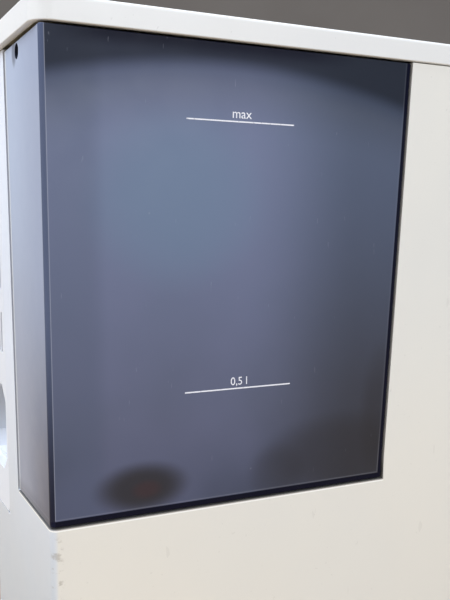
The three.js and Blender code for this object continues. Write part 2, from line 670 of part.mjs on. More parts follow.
// ---------- power and cooling ----------
const FAN = { x: 45, z: 225, y0: 146, half: 30 };

function powerAndFan() {
  const supply = carve([
    block(62, 112, 58, 150, SHELF + 3 + GAP, SHELF + 40),
    block(58, 63, 64, 100, SHELF + 6, SHELF + 18),
  ]);
  add('power_supply', supply, paint(STEEL, 0.5, 0.7));
  add('mains_lead', tube([
    [-12, 137.7, 143], [-12, 126, 143], [-2, 110, 128], [25, 95, 108], [45, 84, SHELF + 13],
    [52, 82, SHELF + 12], [57.2, 82, SHELF + 12],
  ], 2.6, 8, 20), paint(RUBBER, 0.6));

  const { x, z, y0, half } = FAN;
  const frame = carve(
    [block(x - half, x + half, y0, y0 + 14, z - half, z + half)],
    [discY(27.5, y0 + 2.5, y0 + 20, x, z, 28), fanOpening(x, z, y0)]);
  add('fan_frame', frame, paint(DARK, 0.6));

  const hub = discY(11, y0 + 3.2, y0 + 13, x, z, 20);
  const blades = [0, 1, 2, 3, 4].map((turn) => {
    const blade = block(9, 25.5, -1, 1, -5, 5);
    blade.rotateX(THREE.MathUtils.degToRad(50));
    blade.rotateY(turn * Math.PI * 0.4);
    return blade.translate(x, y0 + 8, z);
  });
  add('fan_rotor', carve([hub, ...blades]), paint(DARK, 0.5));
}

// The fan's back: a ring-shaped opening left open between its hub and its rim, with three arms.
function fanOpening(x, z, y0) {
  const opening = carve(
    [discY(26, y0 - 5, y0 + 5, x, z, 24)], [discY(12, y0 - 10, y0 + 10, x, z, 20)]);
  const arms = [0, 1, 2].map((turn) => {
    const arm = block(0, 40, -6, 12, -2, 2);
    return arm.rotateY(turn * Math.PI / 1.5).translate(x, y0, z);
  });
  return carve([opening], arms);
}

// ---------- front controls ----------
function controls() {
  const front = FRONT - GAP;
  const sheet = upright(roundRect(FASCIA.x0, FASCIA.x1, FASCIA.z0, FASCIA.z1, 6),
    front - 2.7, front);
  const fascia = carve([sheet], [
    discY(4, front - 10, front + 5, KNOB.x, KNOB.z, 14),
    discY(9.6, front - 10, front + 5, BUTTON.x, BUTTON.z, 20),
  ]);
  add('front_fascia', fascia, paint(DARK, 0.2));
  add('display_lens', upright(roundRect(-44, 36, 272, 312, 4), front - 4.2, front - 3),
    paint(0x0c1014, 0.1));

  const face = front - 3;
  const knob = turnedY([
    [0, -177.2], [13, -177.2], [16, -175], [17.5, face - 1], [17.5, face - GAP], [3.5, face - GAP],
    [3.5, face - 8], [0, face - 8],
  ], KNOB.x, KNOB.z, 28);
  const mark = block(KNOB.x - 0.8, KNOB.x + 0.8, -180, -176.4, KNOB.z + 4, KNOB.z + 14);
  add('selector_knob', carve([knob], [mark]), paint(STEEL, 0.3, 0.8));

  const cap = discY(9, face - 2.6, FRONT + 1, BUTTON.x, BUTTON.z, 20);
  const stem = discY(3, FRONT, FRONT + 6, BUTTON.x, BUTTON.z, 12);
  add('start_button', carve([cap, stem]), paint(CREAM, 0.4));

  const board = carve([
    block(-105, 105, -150, -148.4, 264, 318),
    block(KNOB.x - 7, KNOB.x + 7, -156, -149, KNOB.z - 7, KNOB.z + 7),
    discY(3, face - 7, -155, KNOB.x, KNOB.z, 12),
    block(BUTTON.x - 5, BUTTON.x + 5, -151.8, -149, BUTTON.z - 5, BUTTON.z + 5),
    block(-40, 32, -155, -149, 274, 310),
    block(-20, 20, -149, -142, 268, 276),
  ]);
  add('control_board', board, paint(BOARD, 0.6));
}

housing();
basePlate();
feet();
topDeck();
serviceShelf();
servicePanel();
panelScrews();
inlet();
tank();
tankHandle();
tankValve();
levelFloat();
lid();
hinges();
washTub();
basket();
impeller();
motor();
circuit();
drainTap();
powerAndFan();
controls();

export default root;
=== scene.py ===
"""Looks for the resin wash station: every piece is in metres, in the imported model's own frame."""

import json
import math

import bmesh
import bpy
from mathutils import Matrix, Vector


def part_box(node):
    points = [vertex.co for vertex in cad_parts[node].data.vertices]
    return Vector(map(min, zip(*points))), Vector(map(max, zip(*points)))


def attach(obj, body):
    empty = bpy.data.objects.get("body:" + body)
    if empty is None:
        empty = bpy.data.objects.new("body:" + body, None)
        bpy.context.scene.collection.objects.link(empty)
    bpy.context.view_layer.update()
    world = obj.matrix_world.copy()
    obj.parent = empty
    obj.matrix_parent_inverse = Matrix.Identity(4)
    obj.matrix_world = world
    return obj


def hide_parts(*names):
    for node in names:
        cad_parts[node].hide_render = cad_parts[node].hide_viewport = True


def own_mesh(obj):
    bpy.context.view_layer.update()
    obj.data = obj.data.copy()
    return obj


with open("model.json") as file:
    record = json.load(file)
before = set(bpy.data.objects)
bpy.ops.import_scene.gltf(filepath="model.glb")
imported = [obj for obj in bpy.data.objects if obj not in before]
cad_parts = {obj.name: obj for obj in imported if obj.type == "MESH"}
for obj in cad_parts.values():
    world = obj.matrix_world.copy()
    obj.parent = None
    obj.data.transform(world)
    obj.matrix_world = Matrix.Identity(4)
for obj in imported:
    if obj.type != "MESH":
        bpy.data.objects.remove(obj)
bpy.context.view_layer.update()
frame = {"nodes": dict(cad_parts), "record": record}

MM = 0.001
NODES = frame["nodes"]

# ---------- places: boxes read from the frame, and given numbers ---
TANK_LOW, TANK_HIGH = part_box("tank_shell")
LID_LOW, LID_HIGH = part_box("lid_panel")

REAR = 0.1715  # rear faces at the height of the tank's foot
REAR_LEAN = 0.0136  # how far the rear faces move back per metre of height
LEAN_FROM = 0.1209  # height where the leans start to count
TANK_FRONT = -0.0035
TANK_FRONT_LEAN = 0.0562
TANK_RIGHT_LEAN = 0.031  # how far the tank's right face moves left per metre below its top
TANK_TOP = TANK_HIGH.z
TANK_FOOT = TANK_LOW.z
TANK_CORNER = 0.002  # radius of the tank's upright corners
VALVE = Vector((-0.086, 0.118))  # the outlet valve's axis, upright
PIVOT = Vector((-0.080, 0, 0.327))  # the carrying handle's axis, along Y
LEDGE = TANK_FOOT - 0.0007  # the housing's edge under the tank
LID_CROWN = 0.0092


def rear_at(z):
    return REAR + REAR_LEAN * (z - LEAN_FROM)


def front_at(z):
    return TANK_FRONT - TANK_FRONT_LEAN * (z - LEAN_FROM)


def right_at(z):
    return TANK_HIGH.x - TANK_RIGHT_LEAN * (TANK_TOP - z)


# ---------- camera ----------
def add_camera():
    focal_pixels = 843.9
    long_side = 600
    data = bpy.data.cameras.new("camera")
    data.sensor_width = 36
    data.lens = data.sensor_width * focal_pixels / long_side
    camera = bpy.data.objects.new("camera", data)
    bpy.context.scene.collection.objects.link(camera)
    yaw, pitch, roll = (math.radians(a) for a in (-26.54, -5.54, 0.534))
    forward = Vector((math.cos(pitch) * math.cos(yaw), math.cos(pitch) * math.sin(yaw),
                      math.sin(pitch)))
    right = forward.cross(Vector((0, 0, 1))).normalized()
    up = right.cross(forward)
    turned_right = math.cos(roll) * right + math.sin(roll) * up
    turned_up = math.cos(roll) * up - math.sin(roll) * right
    matrix = Matrix((turned_right, turned_up, -forward)).transposed().to_4x4()
    matrix.translation = Vector((-0.4672, 0.2624, 0.2536))
    camera.matrix_world = matrix
    bpy.context.scene.camera = camera


add_camera()


# ---------- shader helpers ----------
class Shader:
    """A material and short calls that add nodes to it."""

    def __init__(self, name, **values):
        self.material = bpy.data.materials.new(name)
        self.material.use_nodes = True
        self.tree = self.material.node_tree
        self.base = self.tree.nodes["Principled BSDF"]
        self.object = self.tree.nodes.new("ShaderNodeTexCoord").outputs["Object"]
        for socket, value in values.items():
            self.base.inputs[socket.replace("_", " ")].default_value = value

    def node(self, kind, **settings):
        made = self.tree.nodes.new("ShaderNode" + kind)
        for key, value in settings.items():
            setattr(made, key, value)
        return made

    def link(self, source, target):
        if isinstance(source, bpy.types.NodeSocket):
            self.tree.links.new(source, target)
        else:
            target.default_value = source

    def math(self, operation, a, b=0.0):
        made = self.node("Math", operation=operation)
        self.link(a, made.inputs[0])
        self.link(b, made.inputs[1])
        return made.outputs[0]

    def times(self, a, b):
        return self.math("MULTIPLY", a, b)

    def split(self, vector=None):
        made = self.node("SeparateXYZ")
        self.link(vector or self.object, made.inputs[0])
        return made.outputs

    def stretch(self, scale):
        made = self.node("Mapping")
        made.inputs["Scale"].default_value = scale
        self.link(self.object, made.inputs["Vector"])
        return made.outputs[0]

    def noise(self, scale, detail=3.0, roughness=0.55, vector=None):
        made = self.node("TexNoise")
        self.link(vector or self.object, made.inputs["Vector"])
        made.inputs["Scale"].default_value = scale
        made.inputs["Detail"].default_value = detail
        made.inputs["Roughness"].default_value = roughness
        return made.outputs["Fac"]

    def smooth(self, value, low, high, to_low=0.0, to_high=1.0):
        made = self.node("MapRange", interpolation_type="SMOOTHSTEP")
        self.link(value, made.inputs["Value"])
        made.inputs["From Min"].default_value = low
        made.inputs["From Max"].default_value = high
        made.inputs["To Min"].default_value = to_low
        made.inputs["To Max"].default_value = to_high
        return made.outputs[0]

    def mix(self, factor, a, b):
        """A colour between a and b."""
        made = self.node("Mix", data_type="RGBA")
        self.link(factor, made.inputs["Factor"])
        self.link(a, made.inputs["A"])
        self.link(b, made.inputs["B"])
        return made.outputs["Result"]

    def blend(self, factor, a, b):
        """A number between a and b."""
        made = self.node("Mix", data_type="FLOAT")
        self.link(factor, made.inputs["Factor"])
        self.link(a, made.inputs["A"])
        self.link(b, made.inputs["B"])
        return made.outputs["Result"]

    def bump(self, height, strength, distance):
        made = self.node("Bump")
        made.inputs["Strength"].default_value = strength
        made.inputs["Distance"].default_value = distance
        self.link(height, made.inputs["Height"])
        return made.outputs[0]

    def set(self, socket, value):
        self.link(value, self.base.inputs[socket])


def srgb(r, g, b):
    """A colour given as 0 to 255 on screen, as linear light."""
    def linear(v):
        v /= 255
        return v / 12.92 if v <= 0.04045 else ((v + 0.055) / 1.055) ** 2.4
    return (linear(r), linear(g), linear(b), 1.0)


def scaled(colour, share):
    return tuple(c * share for c in colour[:3]) + (1.0,)


# ---------- materials ----------
def moulded_plastic(name, colour, rough=0.42, spark=0.35, soil=0.25, marks=None):
    """Satin moulded plastic: a fine spark texture, faint flow tone, specks and handling marks.
    A function given as marks adds its own to the colour."""
    s = Shader(name, IOR=1.47)
    broad = s.noise(9, 4)
    tone = s.smooth(broad, 0.3, 0.7)
    darker = scaled(colour, 0.93)
    warm = (colour[0], colour[1] * 0.985, colour[2] * 0.95, 1.0)
    body = s.mix(tone, darker, warm)
    body = s.mix(0.7, body, colour)
    speck = s.smooth(s.noise(420, 2), 0.70, 0.78)
    body = s.mix(s.times(speck, soil), body, scaled(colour, 0.6))
    s.set("Base Color", marks(s, body) if marks else body)
    s.set("Roughness", s.smooth(s.noise(35, 4), 0.3, 0.7, rough - 0.05, rough + 0.07))
    grain = s.noise(1500, 2, 0.6)
    s.set("Normal", s.bump(grain, spark, 0.00006))
    return s.material


def housing_painted_light_and_scuffs(s, body):
    """A warm tone low on the sides and a cooler rear, painted for floor bounce and window light;
    painted shade low on the rear; a painted highlight and shadow line on the edge under the tank;
    and scuffs on the rear left corner."""
    x, y, z = s.split()
    behind = s.smooth(y, REAR - 0.0035, REAR - 0.0010)
    # Painted warm light bounced from the floor, lower down and on the side faces only.
    painted_bounce_warmth = s.times(s.smooth(z, 0.02, 0.24, 1, 0),
                     s.smooth(s.noise(5, 3), 0.3, 0.7, 0.55, 1.0))
    painted_bounce_warmth = s.times(painted_bounce_warmth, s.math("SUBTRACT", 1.0, behind))
    body = s.mix(s.times(painted_bounce_warmth, 0.5), body, srgb(236, 226, 208))
    # Painted cool window light on the rear faces, and painted shade on them lower down.
    body = s.mix(behind, body, srgb(224, 231, 243))
    painted_rear_shade = s.times(behind, s.smooth(z, 0.05, 0.20, 0.85, 0))
    body = s.mix(painted_rear_shade, body, srgb(196, 202, 206))

    bay = s.times(s.smooth(y, -0.0046, -0.0040), s.smooth(x, -0.0600, -0.0595, 1, 0))
    # A painted highlight along the housing's edge under the tank.
    edge = s.times(s.smooth(z, LEDGE - 0.0014, LEDGE - 0.0011),
                   s.smooth(z, LEDGE - 0.0008, LEDGE - 0.0005, 1, 0))
    body = s.mix(s.times(edge, bay), body, srgb(250, 250, 246))
    # A painted shadow line along the top of that edge, in the gap under the tank.
    painted_gap_shadow = s.times(s.smooth(z, LEDGE - 0.0008, LEDGE - 0.0001), bay)
    body = s.mix(s.times(painted_gap_shadow, 0.85), body, srgb(92, 90, 88))

    corner = s.times(s.smooth(x, -0.1188, -0.1172, 1, 0),
                     s.smooth(y, REAR - 0.0060, REAR - 0.0040))
    height = s.times(s.smooth(z, 0.082, 0.094), s.smooth(z, 0.112, 0.117, 1, 0))
    rubbed = s.times(corner, height)
    streak = s.smooth(s.noise(150, 4, 0.6, s.stretch((1, 1, 1.8))), 0.50, 0.60)
    body = s.mix(s.times(s.times(rubbed, streak), 0.45), body,
                 srgb(150, 142, 130))
    fine = s.smooth(s.noise(16, 2, 0.5, s.stretch((5, 12, 3))), 0.73, 0.745)
    return s.mix(s.times(fine, 0.10), body, srgb(150, 146, 138))


def rubber(name, colour):
    s = Shader(name, IOR=1.5)
    s.set("Base Color", s.mix(s.noise(60, 4), colour, scaled(colour, 1.7)))
    s.set("Roughness", s.smooth(s.noise(90, 3), 0.3, 0.7, 0.68, 0.88))
    s.set("Normal", s.bump(s.noise(900, 2), 0.4, 0.0001))
    return s.material


def brushed_metal(name, colour, grain=(6, 300, 300), rough=0.3):
    """Metal with fine parallel brush lines along the short axis of grain."""
    s = Shader(name, Metallic=1.0)
    lines = s.noise(6, 4, 0.65, s.stretch(grain))
    s.set("Base Color", s.mix(lines, scaled(colour, 0.78), colour))
    s.set("Roughness", s.smooth(lines, 0.25, 0.75, rough - 0.08, rough + 0.12))
    s.set("Normal", s.bump(lines, 0.15, 0.00005))
    return s.material


def gloss(name, colour, rough=0.12):
    s = Shader(name, IOR=1.5)
    s.base.inputs["Coat Weight"].default_value = 0.4
    s.base.inputs["Coat Roughness"].default_value = 0.05
    s.set("Base Color", s.mix(s.noise(12, 3), colour, scaled(colour, 1.5)))
    smudge = s.smooth(s.noise(28, 5, 0.65), 0.45, 0.75)
    s.set("Roughness", s.math("ADD", rough, s.times(smudge, 0.12)))
    return s.material


def clear_plastic(name, colour):
    s = Shader(name, IOR=1.45)
    s.base.inputs["Transmission Weight"].default_value = 0.6
    s.set("Base Color", s.mix(s.noise(20, 3), colour, scaled(colour, 0.85)))
    s.set("Roughness", s.smooth(s.noise(70, 3), 0.3, 0.7, 0.12, 0.3))
    return s.material


def solder_mask(name):
    s = Shader(name, IOR=1.5)
    traces = s.node("TexBrick")
    s.link(s.object, traces.inputs["Vector"])
    traces.inputs["Scale"].default_value = 90
    traces.inputs["Color1"].default_value = srgb(24, 92, 58)
    traces.inputs["Color2"].default_value = srgb(30, 104, 66)
    traces.inputs["Mortar"].default_value = srgb(60, 140, 84)
    s.set("Base Color", traces.outputs["Color"])
    s.set("Roughness", s.smooth(s.noise(200, 2), 0.3, 0.7, 0.3, 0.45))
    return s.material


# The tank's tones. They are albedo with painted light and shade in them: what light through
# frosting would show, a paler rear for the window's light, painted highlights on the edges, and
# painted shade under the lid, to the front and in the clear rim.
SIDE_HIGH = srgb(102, 113, 144)
SIDE_LOW = srgb(77, 83, 106)
SIDE_FOOT = srgb(60, 67, 90)
SIDE_WARM = srgb(108, 112, 146)
SIDE_COOL = srgb(96, 124, 150)
SIDE_FRONT = srgb(62, 74, 98)
SIDE_FRONT_LOW = srgb(34, 36, 46)
UNDER_LID = srgb(27, 31, 40)
BLOT = srgb(17, 14, 20)
VALVE_RED = srgb(62, 20, 24)
REAR_HIGH = srgb(172, 184, 206)
REAR_LOW = srgb(153, 158, 174)
REAR_OUTER = srgb(155, 165, 188)
REAR_OUTER_LOW = srgb(98, 100, 114)
REAR_INNER = srgb(200, 206, 212)
REAR_FOOT = srgb(74, 74, 84)
RIM = srgb(12, 14, 32)
CORNER_HIGH = srgb(82, 92, 118)
CORNER_LOW = srgb(20, 23, 44)
HIGHLIGHT_AND_SCRATCH = srgb(186, 190, 206)


def smoked_plastic(name):
    """The tank's smoked plastic, opaque, with light and shade painted into its colour. Its broad
    faces look frosted, and its rim and round corner look clear and dark. Soft dark shapes are
    painted in where pieces would show from inside."""
    s = Shader(name, IOR=1.49)
    x, y, z = s.split()

    # Distances in from the edges of the side face and of the rear face, in metres.
    rear = s.math("ADD", REAR - TANK_CORNER - REAR_LEAN * LEAN_FROM,
                  s.times(z, REAR_LEAN))
    from_rear = s.math("SUBTRACT", rear, y)
    front = s.math("SUBTRACT", TANK_FRONT + TANK_FRONT_LEAN * LEAN_FROM,
                   s.times(z, TANK_FRONT_LEAN))
    from_front = s.math("SUBTRACT", y, front)
    from_foot = s.math("SUBTRACT", z, TANK_FOOT)
    from_top = s.math("SUBTRACT", TANK_TOP, z)
    from_side = s.math("SUBTRACT", x, TANK_LOW.x)
    right = s.math("ADD", TANK_HIGH.x - TANK_RIGHT_LEAN * TANK_TOP,
                   s.times(z, TANK_RIGHT_LEAN))
    from_right = s.math("SUBTRACT", right, x)

    def spot(*terms, soft=(0.15, 1.5)):
        """1 at a place and 0 away from it; each term is (coordinate, place, half width)."""
        total = 0.0
        for coordinate, place, width in terms:
            away = s.math("DIVIDE", s.math("SUBTRACT", coordinate, place), width)
            total = s.math("ADD", total, s.math("POWER", away, 2))
        return s.smooth(total, soft[0], soft[1], 1, 0)

    # Side face, with painted light and shade: lightest in the upper middle, darker to the front,
    # the foot and under the lid.
    tone = s.mix(s.smooth(from_foot, 0.02, 0.16), SIDE_LOW, SIDE_HIGH)
    tone = s.mix(s.smooth(from_foot, 0.004, 0.050), SIDE_FOOT, tone)
    tone = s.mix(s.smooth(s.noise(9, 3), 0.35, 0.65, 0, 0.3), tone, SIDE_WARM)
    cool = spot((y, 0.112, 0.040), (z, 0.262, 0.036), (x, TANK_LOW.x, 0.03), soft=(0.0, 1.6))
    tone = s.mix(s.times(cool, 0.45), tone, SIDE_COOL)
    to_front = s.smooth(y, 0.014, 0.082, 1, 0)
    tone = s.mix(s.times(to_front, 0.86), tone, s.mix(
        s.smooth(from_foot, 0.02, 0.17), SIDE_FRONT_LOW, SIDE_FRONT))
    by_rear = spot((from_rear, 0.009, 0.014))
    tone = s.mix(s.times(by_rear, 0.32), tone, SIDE_FRONT)

    # Painted dark shapes behind the frosting, where the valve, the moulded foot and the folded
    # handle would block the light, and the lid's painted shadow.
    at_side = (x, TANK_LOW.x, 0.03)
    valve = spot((y, 0.1295, 0.023), (z, 0.1325, 0.0120), at_side, soft=(0.15, 1.25))
    tone = s.mix(s.times(valve, 0.90), tone, BLOT)
    centre = spot((y, 0.1275, 0.007), (z, 0.1315, 0.004), at_side, soft=(0.0, 1.6))
    tone = s.mix(s.times(centre, 0.35), tone, VALVE_RED)
    ledge = spot((y, 0.022, 0.044), (z, 0.137, 0.019), at_side)
    tone = s.mix(s.times(ledge, 0.45), tone, BLOT)
    post = spot((y, 0.060, 0.015), (z, 0.131, 0.013), at_side)
    tone = s.mix(s.times(post, 0.32), tone, BLOT)
    column = spot((y, -0.002, 0.013), (z, 0.150, 0.038), at_side)
    tone = s.mix(s.times(column, 0.40), tone, BLOT)
    # Painted shade under the lid, with an arched lower edge.
    arch = s.math("POWER", s.math("DIVIDE", s.math("SUBTRACT", y, 0.088), 0.082), 2)
    lowered = s.math("SUBTRACT", from_top, s.times(arch, 0.0095))
    tone = s.mix(s.smooth(lowered, 0.010, 0.042, 0.42, 0), tone, UNDER_LID)
    tone = s.mix(s.smooth(lowered, 0.0050, 0.0140, 0.80, 0), tone, UNDER_LID)
    shadow = spot((y, 0.096, 0.075), soft=(0.3, 1.2))
    shadow = s.times(shadow, s.smooth(from_top, 0.0010, 0.0085, 0.9, 0))
    tone = s.mix(shadow, tone, RIM)

    # Rear face: painted paler for the window's light on it, lightest along its inner edge as a
    # painted highlight, with a soft dark foot.
    normal = s.node("NewGeometry").outputs["Normal"]
    facing_rear = s.smooth(s.split(normal)[1], 0.9, 0.99)
    pale = s.mix(s.smooth(from_foot, 0.02, 0.16), REAR_LOW, REAR_HIGH)
    outer = s.mix(s.smooth(from_foot, 0.0, 0.12), REAR_OUTER_LOW, REAR_OUTER)
    pale = s.mix(s.smooth(from_right, 0.006, 0.062), pale, outer)
    pale = s.mix(spot((from_right, 0.0005, 0.0035)), pale, REAR_INNER)
    pale = s.mix(s.smooth(from_foot, 0.0015, 0.009, 0.35, 0), pale, REAR_FOOT)
    hole_shade = spot((x, PIVOT.x + 0.0055, 0.0042), (z, PIVOT.z, 0.006))
    pale = s.mix(s.times(hole_shade, 0.6), pale, REAR_FOOT)
    body = s.mix(facing_rear, tone, pale)

    # Clear rim along the foot, the front edge and the round corner, painted dark for the shaded gap
    # seen through it, with a painted highlight on its inner line.
    to_edge = s.math("MINIMUM", from_foot, s.math("SUBTRACT", from_front, 0.0003))
    rim = s.smooth(to_edge, 0.0026, 0.0030, 1, 0)
    rim = s.times(rim, s.math("SUBTRACT", 1.0, facing_rear))
    body = s.mix(rim, body, RIM)
    lit = s.times(s.smooth(to_edge, 0.0029, 0.0032),
                  s.smooth(to_edge, 0.0033, 0.0038, 1, 0))
    lit = s.times(lit, s.smooth(from_foot, 0.03, 0.012, 0.05, 0.12))
    body = s.mix(lit, body, HIGHLIGHT_AND_SCRATCH)
    # The round corner: a painted dark reflection, darker lower down, and a thin painted highlight
    # where the side face starts.
    corner = s.times(s.smooth(from_rear, -0.00015, 0.00010, 1, 0),
                     s.smooth(from_side, 0.0019, 0.0024, 1, 0))
    band = s.mix(s.smooth(from_foot, 0.002, 0.10), CORNER_LOW, CORNER_HIGH)
    body = s.mix(corner, body, band)
    corner_highlight = s.times(s.smooth(from_rear, -0.00020, 0.0),
                   s.smooth(from_rear, 0.00010, 0.00034, 1, 0))
    corner_highlight = s.times(corner_highlight, s.smooth(from_side, 0.0004, 0.0008, 1, 0))
    corner_highlight = s.times(corner_highlight, s.smooth(from_foot, 0.0028, 0.0034, 0, 0.36))
    body = s.mix(corner_highlight, body, HIGHLIGHT_AND_SCRATCH)

    # Fine scratches, longer than they are wide.
    scratch = s.noise(9, 2, 0.5, s.stretch((60, 70, 9)))
    scratch = s.smooth(scratch, 0.745, 0.76)
    body = s.mix(s.times(scratch, 0.12), body, HIGHLIGHT_AND_SCRATCH)
    nick = s.noise(11, 1, 0.4, s.stretch((40, 14, 12)))
    body = s.mix(s.times(s.smooth(nick, 0.82, 0.83), 0.12), body, HIGHLIGHT_AND_SCRATCH)

    s.set("Base Color", body)
    rough = s.smooth(s.noise(60, 4), 0.3, 0.7, 0.44, 0.54)
    s.set("Roughness", s.blend(rim, s.blend(corner, rough, 0.5), 0.25))
    sheen = s.blend(rim, s.blend(corner, 0.5, 0.25), 0.10)
    sheen = s.blend(s.smooth(lowered, 0.006, 0.022, 0.85, 0), sheen, 0.04)
    s.set("Specular IOR Level", sheen)
    frost = s.noise(1300, 2)
    s.set("Normal", s.bump(frost, 0.12, 0.00004))
    return s.material


MATERIALS = {
    "white_plastic": moulded_plastic("white_plastic", srgb(231, 230, 227)),
    "housing": moulded_plastic("housing", srgb(226, 226, 222), marks=housing_painted_light_and_scuffs),
    # The service panel's white is painted cooler for the window's light on the rear.
    "window_lit_panel_plastic": moulded_plastic("window_lit_panel_plastic", srgb(226, 232, 242)),
    "lid_plastic": moulded_plastic("lid_plastic", srgb(227, 229, 230), rough=0.36),
    "cream_plastic": moulded_plastic("cream_plastic", srgb(196, 188, 166), rough=0.55),
    "dark_plastic": moulded_plastic("dark_plastic", srgb(44, 46, 50), rough=0.5),
    "black_gloss": gloss("black_gloss", srgb(18, 19, 22)),
    "rubber": rubber("rubber", srgb(34, 34, 36)),
    "stainless": brushed_metal("stainless", srgb(205, 206, 208), (6, 6, 300)),
    "zinc_steel": brushed_metal("zinc_steel", srgb(188, 190, 194), (60, 60, 60), 0.38),
    "clear_plastic": clear_plastic("clear_plastic", srgb(214, 222, 226)),
    "circuit_board": solder_mask("circuit_board"),
    "smoked_plastic": smoked_plastic("smoked_plastic"),
}


# ---------- carried-over nodes ----------
OWN_MATERIAL = {"tank_handle": "dark_plastic", "housing_shell": "housing",
                "service_panel": "window_lit_panel_plastic"}


def steady_normals(piece):
    """Keeps broad faces flat in shading, so that only the fillets between them turn the light."""
    step = piece.modifiers.new("normals", "WEIGHTED_NORMAL")
    step.weight = 100
    step.keep_sharp = True


def dress_frame():
    """Gives every CAD node its slot's material, soft edges and shading."""
    slots = {row["node"]: row["material_slot"] for row in frame["record"]["subparts"]}
    wide = {"housing_shell": 0.8, "service_panel": 0.5, "top_deck": 0.6, "wash_tub": 0.6}
    for name, node in NODES.items():
        node.data.materials.clear()
        node.data.materials.append(MATERIALS[OWN_MATERIAL.get(name, slots[name])])
        for face in node.data.polygons:
            face.use_smooth = True
            face.material_index = 0
        weld = node.modifiers.new("weld", "WELD")
        weld.merge_threshold = 0.00001
        bevel = node.modifiers.new("bevel", "BEVEL")
        bevel.width = wide.get(name, 0.35) * MM
        bevel.segments = 3 if name in wide else 2
        bevel.limit_method = "ANGLE"
        bevel.angle_limit = math.radians(32)
        bevel.use_clamp_overlap = True
        steady_normals(node)


dress_frame()


# ---------- mesh helpers ----------
def mesh_piece(name, vertices, faces, material, body, smooth=True):
    mesh = bpy.data.meshes.new(name)
    mesh.from_pydata([tuple(v) for v in vertices], [], faces)
    mesh.validate()
    maker = bmesh.new()
    maker.from_mesh(mesh)
    bmesh.ops.recalc_face_normals(maker, faces=maker.faces)
    maker.to_mesh(mesh)
    maker.free()
    for face in mesh.polygons:
        face.use_smooth = smooth
    mesh.materials.append(material)
    piece = bpy.data.objects.new(name, mesh)
    bpy.context.scene.collection.objects.link(piece)
    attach(piece, body)
    return piece


def round_plan(x0, x1, y0, y1, radius, steps):
    """Points of a rectangle with round corners, anticlockwise from its right front corner."""
    points = []
    centres = [(x1 - radius, y0 + radius, -90), (x1 - radius, y1 - radius, 0),
               (x0 + radius, y1 - radius, 90), (x0 + radius, y0 + radius, 180)]
    for cx, cy, start in centres:
        for i in range(steps + 1):
            angle = math.radians(start + 90 * i / steps)
            points.append((cx + radius * math.cos(angle), cy + radius * math.sin(angle)))
    return points


def loft(rings, close_first=False, close_last=False):
    """Faces between rings of equally many points, with the end rings closed if asked."""
    count = len(rings[0])
    vertices = [p for ring in rings for p in ring]
    faces = []
    for r in range(len(rings) - 1):
        for i in range(count):
            j = (i + 1) % count
            faces.append((r * count + i, r * count + j, (r + 1) * count + j, (r + 1) * count + i))
    if close_first:
        faces.append(tuple(reversed(range(count))))
    if close_last:
        last = (len(rings) - 1) * count
        faces.append(tuple(last + i for i in range(count)))
    return vertices, faces


# ---------- lid ----------
LID_RADIUS = 0.010
LID_FILLET = 0.0016


def lid_top(x):
    across = x / LID_HIGH.x
    return LID_HIGH.z - LID_CROWN * across * across


def build_lid():
    """A crowned slab, open below: outside, small fillets, crown, and the inside of the shell."""
    steps = 10

    def ring(inset, height):
        plan = round_plan(LID_LOW.x + inset, LID_HIGH.x - inset, LID_LOW.y + inset,
                          LID_HIGH.y - inset, max(LID_RADIUS - inset, 0.0012), steps)
        return [Vector((x, y, height(x))) for x, y in plan]

    foot = LID_LOW.z
    rings = [ring(0.0005, lambda x: foot), ring(0.0001, lambda x: foot + 0.0003)]
    rings.append(ring(0, lambda x: foot + 0.0006))
    for i in range(6):
        angle = math.radians(90 * i / 5)
        inset = LID_FILLET * (1 - math.cos(angle))
        drop = LID_FILLET * (1 - math.sin(angle))
        rings.append(ring(inset, lambda x, d=drop: lid_top(x) - d))
    for inset in (0.004, 0.010, 0.025, 0.045, 0.07, 0.095, 0.116):
        rings.append(ring(inset, lid_top))
    outside = rings[::-1]
    wall = 0.003
    inside = [ring(wall, lambda x: foot), ring(wall, lambda x: lid_top(x) - wall)]
    for inset in (0.02, 0.05, 0.09, 0.116):
        inside.append(ring(inset, lambda x: lid_top(x) - wall))
    vertices, faces = loft(outside + inside, True, True)
    lid = mesh_piece("lid_cover", vertices, faces, MATERIALS["lid_plastic"], "lid")
    lid.data.set_sharp_from_angle(angle=math.radians(40))
    steady_normals(lid)
    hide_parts("lid_panel")


build_lid()


# ---------- tank ----------
def cut_away(piece, cutter):
    """Cuts one piece's volume out of another, for good."""
    step = piece.modifiers.new("cut", "BOOLEAN")
    step.operation = "DIFFERENCE"
    step.solver = "EXACT"
    step.object = cutter
    view = bpy.context.evaluated_depsgraph_get()
    mesh = bpy.data.meshes.new_from_object(piece.evaluated_get(view))
    piece.modifiers.remove(step)
    old = piece.data
    piece.data = mesh
    bpy.data.meshes.remove(old)
    bpy.data.objects.remove(cutter, do_unlink=True)
    mesh.set_sharp_from_angle(angle=math.radians(40))


